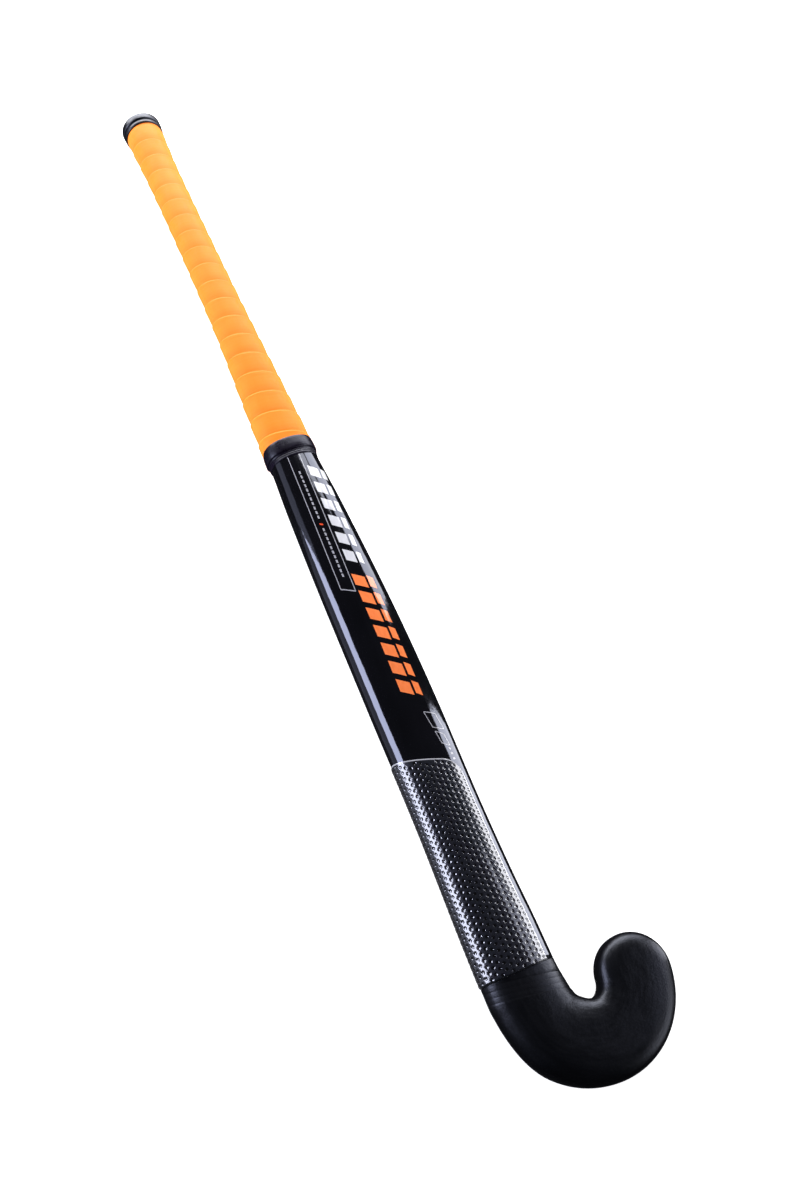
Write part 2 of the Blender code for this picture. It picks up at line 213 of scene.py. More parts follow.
def rounds(along, angle, depth=0.0, past=0.0):
    """Points of the skin by the angle round the section."""
    half, _, _, power_above, power_below, _ = section(along)
    half = half - depth
    sine, cosine = np.sin(angle), np.cos(angle)
    power = np.where(cosine >= 0, power_above, power_below)
    share = sine / (np.abs(sine) ** power + np.abs(cosine) ** power) ** (1 / power)
    reach = np.sqrt(np.maximum(0.0, half**2 - past**2))
    return skin(along, reach * share, np.where(cosine >= 0, 1, -1), depth, past)


def ring(height, angle, depth=0.0):
    """Points of the shaft or neck at a height above the heel."""
    return rounds(height - BEND_Y, angle, depth)


def turns(count):
    """Angles once round the section, from the middle of the back."""
    return np.linspace(0.0, 2 * math.pi, count, endpoint=False)


# ---- meshes ------------------------------------------------------------------------------
SMOOTH_ANGLE = 38
WELD_DISTANCE = 1e-6


def grid_faces(rows, columns, wrap_rows, wrap_columns):
    """Faces of a grid of corners, which joins up with itself where it wraps."""
    row = np.arange(rows if wrap_rows else rows - 1)
    column = np.arange(columns if wrap_columns else columns - 1)
    row, column = np.meshgrid(row, column, indexing="ij")
    up, right = (row + 1) % rows, (column + 1) % columns
    corners = [
        row * columns + column, row * columns + right,
        up * columns + right, up * columns + column,
    ]
    return np.stack(corners, axis=-1).reshape(-1, 4).tolist()


def add_piece(
    name, points, lay, faces, look, slot, replaced=(),
    smooth_angle=SMOOTH_ANGLE, weld=False, marks=None,
):
    """A closed mesh that rides on the stick.

    It keeps the lay of its surface, and marks of its own from 0 to 1, for its material.
    """
    data = bpy.data.meshes.new(name)
    data.from_pydata(points.reshape(-1, 3).tolist(), [], faces)
    data.attributes.new("lay", "FLOAT_VECTOR", "POINT")
    data.attributes["lay"].data.foreach_set("vector", lay.astype(np.float32).ravel())
    for mark, values in (marks or {}).items():
        data.attributes.new(mark, "FLOAT", "POINT")
        data.attributes[mark].data.foreach_set("value", values.astype(np.float32).ravel())
    mesh = bmesh.new()
    mesh.from_mesh(data)
    if weld:
        bmesh.ops.remove_doubles(mesh, verts=mesh.verts, dist=WELD_DISTANCE)
    bmesh.ops.recalc_face_normals(mesh, faces=mesh.faces)
    mesh.to_mesh(data)
    mesh.free()
    data.shade_smooth()
    data.set_sharp_from_angle(angle=math.radians(smooth_angle))
    data.materials.append(look)
    piece = bpy.data.objects.new(name, data)
    bpy.context.scene.collection.objects.link(piece)
    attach(piece, "root")
    if replaced:
        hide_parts(*replaced)


def add_tube(name, rows, look, slot, replaced=(), loop=True, **options):
    """A tube from (points, lay) rows, whose last row joins the first, or both are capped."""
    points = np.stack([row[0] for row in rows])
    lay = np.stack([row[1] for row in rows])
    count, around = points.shape[:2]
    faces = grid_faces(count, around, loop, True)
    if not loop:
        faces.append(list(range(around)))
        faces.append(list(range((count - 1) * around, count * around)))
    add_piece(name, points, lay, faces, look, slot, replaced, **options)


def slab(outer, inner):
    """Corners, lay and faces of a thin plate between two grids of the same size."""
    rows, columns = outer[0].shape[:2]
    size = rows * columns
    faces = grid_faces(rows, columns, False, False)
    faces += [[size + corner for corner in reversed(face)] for face in faces]
    top = np.arange(size).reshape(rows, columns)
    rim = np.concatenate([top[0, :-1], top[:-1, -1], top[-1, :0:-1], top[:0:-1, 0]]).tolist()
    for k, corner in enumerate(rim):
        following = rim[(k + 1) % len(rim)]
        faces.append([following, corner, corner + size, following + size])
    points = np.concatenate([outer[0].reshape(-1, 3), inner[0].reshape(-1, 3)])
    lay = np.concatenate([outer[1].reshape(-1, 3), inner[1].reshape(-1, 3)])
    return points, lay, faces


# ---- materials -----------------------------------------------------------------------------
NOISE_LOW, NOISE_HIGH = 0.3, 0.7    # nearly all of a noise lies between these


def add_node(tree, kind, settings=None, **inputs):
    """A new node; an input is a value or another node's output.

    Inputs go by name, with _ for spaces, or by number, as i0, i1.
    """
    node = tree.nodes.new("ShaderNode" + kind)
    for key, value in (settings or {}).items():
        setattr(node, key, value)
    for key, value in inputs.items():
        numbered = key[0] == "i" and key[1:].isdigit()
        socket = node.inputs[int(key[1:]) if numbered else key.replace("_", " ")]
        if isinstance(value, bpy.types.NodeSocket):
            tree.links.new(value, socket)
        else:
            socket.default_value = value
    return node


def noise(tree, stretch, detail, source):
    """Noise with its own scale along, across and up, in bumps per metre."""
    if source == "lay":
        place = add_node(tree, "Attribute", {"attribute_name": "lay"}).outputs["Vector"]
    else:
        place = add_node(tree, "TexCoord").outputs["Object"]
    scaled = add_node(tree, "VectorMath", {"operation": "MULTIPLY"}, i0=place, i1=stretch)
    texture = add_node(
        tree, "TexNoise", None, Vector=scaled.outputs[0], Scale=1.0, Detail=detail, Roughness=0.5
    )
    return texture.outputs["Fac"]


def remap(tree, value, low, high):
    """Noise brought to the range from low to high."""
    node = add_node(
        tree, "MapRange", None, Value=value,
        From_Min=NOISE_LOW, From_Max=NOISE_HIGH, To_Min=low, To_Max=high,
    )
    return node.outputs["Result"]


def add_bump(tree, height, distance, under=None):
    """Relief of the given height, over an earlier one."""
    inputs = {"Height": height, "Distance": distance, "Strength": 1.0}
    if under is not None:
        inputs["Normal"] = under
    return add_node(tree, "Bump", None, **inputs).outputs["Normal"]


def make_look(
    name, dark, light, patches, roughness, bumps, source="lay", marks=(), **settings
):
    """Principled material: colour between dark and light, roughness in a range, layers of bump.

    patches is the stretch of the colour's noise; bumps are (stretch, detail, distance); marks
    are (attribute, colour, roughness) for the places the attribute marks.
    """
    material = bpy.data.materials.new(name)
    material.use_nodes = True
    tree = material.node_tree
    shader = tree.nodes["Principled BSDF"]
    for key, value in settings.items():
        shader.inputs[key.replace("_", " ")].default_value = value
    ramp = add_node(tree, "ValToRGB", None, Fac=noise(tree, patches, 3.0, source))
    first, last = ramp.color_ramp.elements
    first.position, last.position = NOISE_LOW, NOISE_HIGH
    first.color, last.color = (*dark, 1.0), (*light, 1.0)
    colour = ramp.outputs["Color"]
    rough = remap(tree, noise(tree, [3.1 * s for s in patches], 2.0, source), *roughness)
    for mark, tint, marked_roughness in marks:
        share = add_node(tree, "Attribute", {"attribute_name": mark}).outputs["Fac"]
        mix = add_node(tree, "Mix", {"data_type": "RGBA"}, i0=share, i6=colour, i7=(*tint, 1.0))
        colour = mix.outputs[2]
        rough = add_node(tree, "Mix", None, i0=share, i2=rough, i3=marked_roughness).outputs[0]
    tree.links.new(colour, shader.inputs["Base Color"])
    tree.links.new(rough, shader.inputs["Roughness"])
    normal = None
    for stretch, detail, distance in bumps:
        normal = add_bump(tree, noise(tree, stretch, detail, source), distance, normal)
    if normal is not None:
        tree.links.new(normal, shader.inputs["Normal"])
    return material


GLOSS_TINT = (0.80, 0.84, 1.0, 1.0)    # the black surfaces shine a little blue


def head_look():
    """Matt black paint over fibres that follow the hook, with a few small knocks."""
    return make_look(
        "matt_black_head_paint", (0.0006, 0.0006, 0.0010), (0.0015, 0.0015, 0.0021),
        (30, 160, 160), (0.31, 0.37),
        [
            ((22, 700, 700), 3.0, 0.00005), ((60, 90, 90), 2.0, 0.0005),
            ((900, 900, 900), 3.0, 0.00009),
        ],
        Specular_IOR_Level=0.42, Specular_Tint=GLOSS_TINT,
    )


def lacquer_look():
    """Gloss black lacquer with a slight orange peel."""
    return make_look(
        "gloss_black_lacquer", (0.0022, 0.0022, 0.0030), (0.0040, 0.0040, 0.0055),
        (20, 60, 60), (0.05, 0.09),
        [((110, 240, 240), 1.0, 0.00007), ((900, 900, 900), 1.0, 0.000006)],
        Specular_IOR_Level=1.0, Specular_Tint=GLOSS_TINT,
    )


def band_look():
    """Binding tape under the matt paint."""
    return make_look(
        "painted_binding_tape", (0.0014, 0.0014, 0.0020), (0.0036, 0.0036, 0.0045),
        (60, 300, 300), (0.30, 0.36),
        [((1500, 60, 60), 2.0, 0.00003), ((900, 900, 900), 1.0, 0.00002)],
        Specular_IOR_Level=0.44, Specular_Tint=GLOSS_TINT,
    )


def film_look():
    """Clear protective film with a faint haze, painted shade in its dimples and a painted
    highlight at its cut edge.
    """
    return make_look(
        "clear_dimpled_film", (0.003, 0.004, 0.008), (0.006, 0.007, 0.012),
        (50, 90, 90), (0.36, 0.44), [],
        # painted shade darkens and smooths the dimples; a painted highlight lightens the cut edge
        marks=(("dimple_shade", (0.001, 0.001, 0.001), 0.10), ("edge_bevel_and_highlight", (0.60, 0.60, 0.64), 0.3)),
        Alpha=0.80, Specular_IOR_Level=0.5, Specular_Tint=GLOSS_TINT, IOR=1.6,
        Coat_Weight=1.0, Coat_IOR=2.2, Coat_Roughness=0.07,
        Sheen_Weight=0.12, Sheen_Roughness=0.35,
    )


def grip_look():
    """Soft orange polyurethane, finely grained, with deeper orange painted shade where two turns
    meet.
    """
    return make_look(
        "orange_grip_polyurethane", (0.96, 0.235, 0.005), (0.99, 0.252, 0.008),
        (90, 160, 160), (0.50, 0.62),
        [((240, 120, 120), 2.0, 0.00008), ((3200, 3200, 3200), 2.0, 0.00003)],
        # painted shade: a deeper orange towards the crease where two turns meet
        marks=(("crease_shade", (0.94, 0.204, 0.004), 0.6),),
        Specular_IOR_Level=0.25,
    )


def tape_look():
    """Stretched black vinyl tape."""
    return make_look(
        "black_vinyl_tape", (0.0035, 0.0022, 0.006), (0.007, 0.0045, 0.012),
        (90, 90, 90), (0.26, 0.34),
        [((700, 60, 60), 2.0, 0.00006), ((260, 260, 260), 1.0, 0.00008)],
        Specular_IOR_Level=0.33, Specular_Tint=GLOSS_TINT,
    )


def rubber_look():
    """Moulded black rubber."""
    return make_look(
        "moulded_black_rubber", (0.003, 0.003, 0.005), (0.007, 0.007, 0.010),
        (150, 150, 150), (0.28, 0.38),
        [((1800, 1800, 1800), 2.0, 0.00003), ((160, 160, 160), 1.0, 0.00008)],
        Specular_IOR_Level=0.7, Specular_Tint=GLOSS_TINT,
    )


def wood_look(name, dark, light):
    """Straight-grained wood."""
    return make_look(
        name, dark, light, (900, 18, 700), (0.50, 0.66),
        [((1600, 30, 1600), 3.0, 0.00010)],
        source="object",
    )


def ink_look(name, dark, light):
    """Printed ink under the lacquer."""
    return make_look(
        name, dark, light, (160, 400, 400), (0.07, 0.12),
        [((110, 240, 240), 1.0, 0.00007)],
        Specular_IOR_Level=1.0,
    )


# ---- pieces -----------------------------------------------------------------------------------
HEAD_AROUND, SHAFT_AROUND, CAP_AROUND, GRIP_AROUND = 144, 128, 96, 96    # corners in a ring
NECK_ROUND = 0.0002          # rounding of the head's upper rim
NECK_LAP = 0.0009            # depth to which that rim closes in on the shaft
BEND_LEAD = -0.012           # rows run level round the hook from here on
SHAFT_REVEAL = 0.00005       # hairline between the head's rim and the lacquer
SHAFT_STEP = 0.0025          # between rows of the shaft that show
BANDS = 3
BAND_WIDTH, BAND_STEP = 0.0034, 0.00345
BAND_MIDDLE = 0.0679         # height of the middle band
BAND_SLANT = -0.17
BAND_RECESS, BAND_SLOPE = 0.00008, 0.0002    # depth of the bands' seat and width of its edges
# Share of the band's width, distance beyond that, depth under the skin.
BAND_PROFILE = (
    (0.0, 0.0, 0.00006), (0.0, 0.0, 0.00002), (0.0, 0.0004, -0.00001),
    (0.0, 0.0010, -0.00003), (0.5, 0.0, -0.00004), (1.0, -0.0010, -0.00003),
    (1.0, -0.0004, -0.00001), (1.0, 0.0, 0.00002), (1.0, 0.0, 0.00006),
)


def slanted(height, angle, depth=0.0, slant=BAND_SLANT):
    """A ring of the neck that drops towards the toe side."""
    across = ring(height, angle, depth)[1][..., 1]
    return ring(height + slant * across, angle, depth)


def make_head():
    """Painted sock over the hook, with a shallow seat for the bands."""
    angle = turns(HEAD_AROUND)
    top = BAND_MIDDLE + BANDS / 2 * BAND_STEP
    bottom = BAND_MIDDLE - BANDS / 2 * BAND_STEP
    rows = [ring(NECK, angle, NECK_LAP), ring(NECK, angle, NECK_ROUND)]
    rows.append(ring(NECK - NECK_ROUND, angle))
    for share in (0.85, 0.6, 0.3, 0.0):
        height = top + share * (NECK - 2 * NECK_ROUND - top)
        rows.append(slanted(height, angle, 0.0, BAND_SLANT * (1 - share)))
    rows.append(slanted(top - BAND_SLOPE, angle, BAND_RECESS))
    rows.append(slanted(bottom + BAND_SLOPE, angle, BAND_RECESS))
    rows.append(slanted(bottom, angle))
    for share in np.linspace(0.0, 1.0, 16)[1:]:
        height = bottom + share * (BEND_Y + BEND_LEAD - bottom)
        rows.append(slanted(height, angle, 0.0, BAND_SLANT * (1 - share)))
    rows += [rounds(along, angle) for along in np.linspace(BEND_LEAD, BEND_END, 112)[1:]]
    for tip in np.radians(np.linspace(4, 89.4, 26)):
        rows.append(rounds(BEND_END, angle, 0.0, HOOK_HALF * math.sin(tip)))
    rows = rows[::-1]
    rows.append(ring(NECK, angle, SKIN))
    rows += [rounds(along, angle, SKIN) for along in np.linspace(0.0, BEND_END, 14)]
    for tip in np.radians((20, 40, 58, 72, 82, 88)):
        rows.append(rounds(BEND_END, angle, SKIN, (HOOK_HALF - SKIN) * math.sin(tip)))
    add_tube("head_skin", rows, head_look(), "head_paint", ("head_sleeve",), loop=False)


def make_bands():
    """Bands of binding tape, nearly flush in their seat."""
    angle = turns(HEAD_AROUND)
    for k in range(BANDS):
        low = BAND_MIDDLE + (k - 1) * BAND_STEP - BAND_WIDTH / 2
        rows = []
        for share, beyond, depth in BAND_PROFILE:
            rows.append(slanted(low + share * BAND_WIDTH + beyond, angle, depth))
        name = f"neck_binding_{k + 1}"
        add_tube(name, rows, band_look(), "band_tape", (f"neck_band_{k + 1}",))


def make_shaft():
    """Lacquered sleeve, fine where it shows and coarse under the grip."""
    angle = turns(SHAFT_AROUND)
    bottom = NECK + SHAFT_REVEAL
    rows = [ring(bottom, angle, NECK_ROUND), ring(bottom + 0.0003, angle)]
    shown = np.arange(bottom + 0.003, GRIP_BOTTOM + 0.02, SHAFT_STEP)
    hidden = np.linspace(GRIP_BOTTOM + 0.03, SHAFT_TOP, 32)
    rows += [ring(height, angle) for height in (*shown, *hidden)]
    rows += [ring(height, angle, SKIN) for height in np.linspace(SHAFT_TOP, bottom, 40)]
    add_tube("lacquered_shaft", rows, lacquer_look(), "shaft_lacquer", ("shaft_sleeve",))


GRIP_PITCH = 0.0202
GRIP_THICKNESS = 0.0014
GRIP_PHASE = -0.0017         # the winding's edge meets the back this far under the cap
GRIP_SWAY = 0.00003          # unevenness of the stretched strip
GRIP_INNER_ROWS = 30
# Share of a turn, height of the strip over its plain thickness.
GRIP_PROFILE = (
    (0.000, -0.00030), (0.012, -0.00022), (0.026, 0.00012), (0.044, 0.00046), (0.064, 0.00060),
    (0.095, 0.00062), (0.140, 0.00057), (0.250, 0.00047), (0.400, 0.00036), (0.600, 0.00021),
    (0.800, 0.00002), (0.930, -0.00016), (0.985, -0.00028), (1.000, -0.00030),
)


def make_grip():
    """The wound strip as a surface whose ridges follow the winding."""
    shares = np.array([p[0] for p in GRIP_PROFILE])
    lifts = np.array([p[1] for p in GRIP_PROFILE])
    phases = np.concatenate([shares[:6], np.linspace(0.12, 0.95, 18), shares[-2:-1]])
    count = len(phases)
    turn_count = math.ceil((GRIP_TOP - GRIP_BOTTOM) / GRIP_PITCH) + 3
    phase = np.tile(phases, turn_count)
    turn = np.repeat(np.arange(turn_count), count)
    angle = turns(GRIP_AROUND)
    start = CAP_BOTTOM + GRIP_PHASE + 2 * GRIP_PITCH
    height = start - GRIP_PITCH * ((turn + phase)[:, None] + angle[None, :] / (2 * math.pi))
    height = np.clip(height, GRIP_BOTTOM, GRIP_TOP)
    lift = np.interp(phase, shares, lifts)[:, None] * np.ones_like(height)
    lift *= ease(height, GRIP_BOTTOM + 0.006, GRIP_BOTTOM + 0.014)
    lift *= ease(GRIP_TOP - height, 0.0, 0.003)
    # Painted shade, deepening over the last half of each turn towards the crease, full just past
    # it, then quickly fading.
    crease_shade = 0.7 * ease(phase, 0.5, 0.97) + ease(0.03 - phase, 0.0, 0.03)
    crease_shade = crease_shade[:, None] * np.ones_like(height)
    sway = GRIP_SWAY * np.sin(37 * (turn + phase)[:, None] + 3 * angle[None, :])
    points, lay = ring(height, angle[None, :], -(GAP + GRIP_THICKNESS + lift + sway))
    rows = len(phase)
    inner_heights = np.linspace(GRIP_BOTTOM, GRIP_TOP, GRIP_INNER_ROWS)
    inner = [ring(inner_height, angle, -GAP / 2) for inner_height in inner_heights]
    corner = np.arange(rows * GRIP_AROUND).reshape(rows, GRIP_AROUND)
    faces = []
    for k in range(GRIP_AROUND):
        nxt = (k + 1) % GRIP_AROUND
        shift = count if nxt == 0 else 0
        low = corner[: rows - 1 - shift, k]
        high = corner[1 : rows - shift, k]
        next_low = corner[shift : rows - 1, nxt]
        next_high = corner[shift + 1 :, nxt]
        faces += np.stack([low, next_low, next_high, high], axis=-1).tolist()
    base = rows * GRIP_AROUND
    faces += (np.array(grid_faces(len(inner), GRIP_AROUND, False, True)) + base).tolist()
    top_row = base + (len(inner) - 1) * GRIP_AROUND
    for k in range(GRIP_AROUND):
        nxt = (k + 1) % GRIP_AROUND
        faces.append([int(corner[0, k]), int(corner[0, nxt]), top_row + nxt, top_row + k])
        faces.append([int(corner[-1, k]), int(corner[-1, nxt]), base + nxt, base + k])
    points = np.concatenate([points.reshape(-1, 3)] + [row[0] for row in inner])
    lay = np.concatenate([lay.reshape(-1, 3)] + [row[1] for row in inner])
    crease_shade = np.concatenate([crease_shade.ravel(), np.zeros(len(inner) * GRIP_AROUND)])
    add_piece(
        "grip_wrap", points, lay, faces, grip_look(), "grip_wrap", ("grip_tape",),
        weld=True, marks={"crease_shade": crease_shade},
    )


def make_tape():
    """Vinyl tape over the grip's end, in steps where its turns lie on each other."""
    angle = turns(SHAFT_AROUND)
    over_grip = GAP + GRIP_THICKNESS + 0.0001
    wave = 0.00015 * np.sin(2 * angle + 0.6) + 0.00008 * np.sin(5 * angle)
    # Height, distance proud of the bare stick.
    on_grip = (
        (TAPE_TOP, over_grip), (TAPE_TOP, over_grip + 0.00022),
        (TAPE_TOP - 0.0003, over_grip + 0.00032), (TAPE_TOP - 0.0020, over_grip + 0.00042),
        (TAPE_TOP - 0.0060, over_grip + 0.00042), (TAPE_TOP - 0.0090, over_grip + 0.00036),
    )
    laps = (
        (TAPE_TOP - 0.0101, over_grip + 0.00010), (TAPE_TOP - 0.0106, 0.00125),
        (TAPE_TOP - 0.0109, 0.00080), (TAPE_TOP - 0.0113, 0.00070),
        (TAPE_TOP - 0.0116, 0.00095), (TAPE_TOP - 0.0124, 0.00090),
        (TAPE_TOP - 0.0127, 0.00060), (TAPE_TOP - 0.0130, 0.00078),
        (TAPE_TOP - 0.0138, 0.00072), (TAPE_TOP - 0.0141, 0.00045),
        (TAPE_TOP - 0.0144, 0.00058), (TAPE_BOTTOM + 0.0004, 0.00050),
    )
    foot_and_inside = (
        (TAPE_BOTTOM, 0.00020), (TAPE_BOTTOM, 0.00004), (GRIP_BOTTOM - 0.0001, 0.00004),
        (GRIP_BOTTOM - 0.0001, over_grip - 0.0006), (GRIP_BOTTOM + 0.0015, over_grip),
    )
    rows = [ring(height, angle, -proud) for height, proud in on_grip]
    rows += [ring(height + wave, angle, -proud) for height, proud in laps]
    rows += [ring(height, angle, -proud) for height, proud in foot_and_inside]
    add_tube("finishing_wrap", rows, tape_look(), "finishing_tape", ("finishing_tape",))


CAP_OVERRUN = 0.0008         # the moulded end stands this far beyond its CAD node
CAP_FLARE = 0.0003           # and its rim this far outside
CAP_INSIDE = 0.005           # thickness of the closed end


def make_cap():
    """Rubber cap with a shallow dish in its end, a groove and a lip."""
    angle = turns(CAP_AROUND)
    rim = BUTT_RADIUS - CAP_RADIUS - CAP_FLARE    # its depth, so proud of the bare stick
    top = LENGTH + CAP_OVERRUN
    # Height, distance in from the rim.
    profile = (
        (top - 0.0003, 0.0172), (top - 0.0003, 0.0120), (top - 0.0002, 0.0060),
        (top, 0.0045), (top, 0.0012), (top - 0.0002, 0.0006), (top - 0.0005, 0.0002),
        (top - 0.0010, 0.0), (top - 0.0024, 0.0), (top - 0.0062, 0.0),
        (top - 0.0068, 0.0002), (top - 0.0071, 0.0006), (top - 0.0073, 0.0013),
        (top - 0.0080, 0.0015), (top - 0.0090, 0.0014), (top - 0.0094, 0.0009),
        (top - 0.0098, 0.0004), (top - 0.0105, 0.0003), (CAP_BOTTOM + 0.0006, 0.0004),
        (CAP_BOTTOM + 0.0002, 0.0006), (CAP_BOTTOM, 0.0009),
    )
    rows = [ring(height, angle, rim + inset) for height, inset in profile]
    rows += [ring(CAP_BOTTOM, angle, -GAP), ring(top - CAP_INSIDE, angle, -GAP)]
    rows.append(ring(top - CAP_INSIDE, angle, 0.0140))
    add_tube("rubber_end_cap", rows, rubber_look(), "cap_rubber", ("butt_cap",), loop=False)


FILM_TOP, FILM_SLANT, FILM_CORNER = 0.2150, -0.33, 0.0100
FILM_START, FILM_END = math.radians(44.5), math.radians(-248)
FILM_THICKNESS = 0.0004
FILM_MARGIN = 0.0016         # plain border inside the film's edges
DIMPLE_PITCH, DIMPLE_COLUMN = 0.00391, 0.00334
DIMPLE_RADIUS, DIMPLE_DEPTH = 0.00122, 0.00034
DIMPLE_FLAT = 0.38           # share of the radius that is the dimple's floor
CELLS_ALONG, CELLS_ACROSS = 12, 10    # mesh cells from one dimple to the next


def film_top(reach, across):
    """Height of the film's slanted upper edge, with a rounded corner at its free edge."""
    corner = np.clip(FILM_CORNER - reach, 0.0, FILM_CORNER)
    return FILM_TOP + FILM_SLANT * across - FILM_CORNER + np.sqrt(FILM_CORNER**2 - corner**2)


def make_film():
    """Film round the lower shaft, with a grid of round dimples."""
    middle = (FILM_BOTTOM + FILM_TOP) / 2 - BEND_Y
    path_angle = np.linspace(FILM_START, FILM_END, 3000)
    path, path_lay = rounds(middle, path_angle)
    arc = np.concatenate([[0.0], np.cumsum(np.linalg.norm(np.diff(path, axis=0), axis=1))])
    columns = int(arc[-1] / (DIMPLE_COLUMN / CELLS_ACROSS))
    rows = int((FILM_TOP - FILM_BOTTOM) / (DIMPLE_PITCH / CELLS_ALONG))
    reach = np.linspace(0.0, arc[-1], columns + 1)
    angle = np.interp(reach, arc, path_angle)
    across = np.interp(reach, arc, path_lay[:, 1])
    share = np.linspace(0.0, 1.0, rows + 1)[:, None]
    height = FILM_BOTTOM + share * (film_top(reach, across)[None, :] - FILM_BOTTOM)
    column = np.round((reach - FILM_MARGIN) / DIMPLE_COLUMN)
    centre_reach = column * DIMPLE_COLUMN + FILM_MARGIN
    offset = FILM_BOTTOM + FILM_MARGIN + 0.5 * DIMPLE_PITCH * (column % 2)
    row = np.round((height - offset[None, :]) / DIMPLE_PITCH)
    centre_height = row * DIMPLE_PITCH + offset[None, :]
    from_centre = np.hypot(reach - centre_reach, height - centre_height) / DIMPLE_RADIUS
    top_there = film_top(centre_reach, np.interp(centre_reach, arc, path_lay[:, 1]))
    whole = (centre_height < top_there - FILM_MARGIN) & (row >= 0) & (column >= 0)
    whole &= centre_reach < arc[-1] - FILM_MARGIN
    hollow = np.where(whole, 1 - ease(from_centre, DIMPLE_FLAT, 1.0), 0.0)
    from_side = np.minimum(reach, arc[-1] - reach)[None, :]
    rim = np.minimum(from_side, (1 - share) * (FILM_TOP - FILM_BOTTOM))
    # Mask of the cut edge: it bevels the edge and carries a painted highlight along it.
    edge_bevel_and_highlight = 1 - ease(rim, 0.0002, 0.0011)
    bottom_edge = 1 - ease(height - FILM_BOTTOM, 0.0, 0.0008)
    depth = DIMPLE_DEPTH * hollow + 0.0002 * edge_bevel_and_highlight + 0.0006 * bottom_edge - GAP - FILM_THICKNESS
    outer = ring(height, angle[None, :], depth)
    inner = ring(height, angle[None, :], GAP / 3 * bottom_edge - GAP / 2)
    points, lay, faces = slab(outer, inner)
    # Marks for the material: painted shade in the dimples, painted highlight along the cut edge.
    marks = {
        "dimple_shade": np.tile(np.minimum(1.0, 2 * hollow).ravel(), 2),
        "edge_bevel_and_highlight": np.tile(edge_bevel_and_highlight.ravel(), 2),
    }
    add_piece(
        "dimpled_film", points, lay, faces, film_look(), "clear_film", ("dimple_film",),
        smooth_angle=60, marks=marks,
    )


# ---- printed decoration: plain bars and lines --------------------------------------------------
# A place in a print is (height above the heel, distance across from the middle of the back).
INK_PROUD, INK_SUNK, INK_CELL = 0.00006, 0.00003, 0.0012
LINE_WIDTH = 0.00055
BOX_CORNER = (0.2455, 0.0080)     # upper corner of the two outlined boxes
BOX_LEAN, BOX_SKEW = 0.14, 0.003
# Runs of bars: first and last place, count, share of a step that is filled, width, slant.
WHITE_RUNS = (
    ((0.4500, 0.0048), (0.3590, 0.0018), 6, 0.62, 0.0068, 0.0022),
    ((0.4470, 0.0132), (0.3560, 0.0102), 6, 0.62, 0.0030, 0.0010),
)
ORANGE_RUNS = (
    ((0.3530, 0.0008), (0.2560, -0.0012), 7, 0.66, 0.0080, 0.0026),
    ((0.3500, 0.0104), (0.2530, 0.0084), 7, 0.66, 0.0040, 0.0014),
)
DASH_RUNS = (
    ((0.4490, -0.0030), (0.4040, -0.0043), 11, 0.66, 0.0012, 0.0002),
    ((0.3970, -0.0045), (0.3540, -0.0057), 11, 0.66, 0.0012, 0.0002),
)


def bar(start, end, low, high, slant=0.0):
    """Corners of a slanted bar from start to end along the stick."""
    return (
        (start[0] + slant, start[1] + low), (end[0] + slant, end[1] + low),
        (end[0] - slant, end[1] + high), (start[0] - slant, start[1] + high),
    )


def runs_of_bars(runs):
    """Equal slanted bars along each run, each filling a share of its step."""
    shapes = []
    for first, last, count, fill, width, slant in runs:
        first, last = np.array(first), np.array(last)
        for k in range(count):
            start = first + (last - first) * k / count
            end = first + (last - first) * (k + fill) / count
            shapes.append(bar(start, end, 0.0, width, slant))
    return shapes


def line(first, last, width):
    """A thin line along the stick."""
    return bar(first, last, -width / 2, width / 2)


def stroke(first, last, width):
    """A thin line between two places in any direction."""
    first, last = np.array(first), np.array(last)
    aside = np.array([last[1] - first[1], first[0] - last[0]])
    aside *= width / 2 / np.linalg.norm(aside)
    return tuple(map(tuple, (first - aside, last - aside, last + aside, first + aside)))


def outlined_boxes():
    """Two empty leaning boxes, one under the other."""
    strokes = []
    top, side = BOX_CORNER
    for start, end, width in ((top, 0.2340, 0.0072), (0.2310, 0.2225, 0.0050)):
        low = side + (top - start) * BOX_LEAN
        a, b = (start, low), (end, low + (start - end) * BOX_LEAN)
        c, d = (end - BOX_SKEW, b[1] + width), (start - BOX_SKEW, low + width)
        for first, last in ((a, b), (b, c), (c, d), (d, a)):
            strokes.append(stroke(first, last, LINE_WIDTH))
    return strokes


def add_print(name, shapes, look):
    """Thin printed shapes that follow the skin, each from four corners."""
    points, lays, faces = [], [], []
    for shape in shapes:
        a, b, c, d = (np.array(corner) for corner in shape)
        length = max(np.linalg.norm(b - a), np.linalg.norm(c - d))
        rows = max(2, math.ceil(length / INK_CELL) + 1)
        columns = max(2, math.ceil(np.linalg.norm(d - a) / INK_CELL) + 1)
        s = np.linspace(0, 1, rows)[:, None, None]
        t = np.linspace(0, 1, columns)[None, :, None]
        spot = (1 - t) * ((1 - s) * a + s * b) + t * ((1 - s) * d + s * c)
        outer = skin(spot[..., 0] - BEND_Y, spot[..., 1], 1, -INK_PROUD)
        inner = skin(spot[..., 0] - BEND_Y, spot[..., 1], 1, INK_SUNK)
        plate, lay, corners = slab(outer, inner)
        base = sum(len(p) for p in points)
        faces += [[base + corner for corner in face] for face in corners]
        points.append(plate)
        lays.append(lay)
    add_piece(name, np.concatenate(points), np.concatenate(lays), faces, look, "shaft_lacquer")


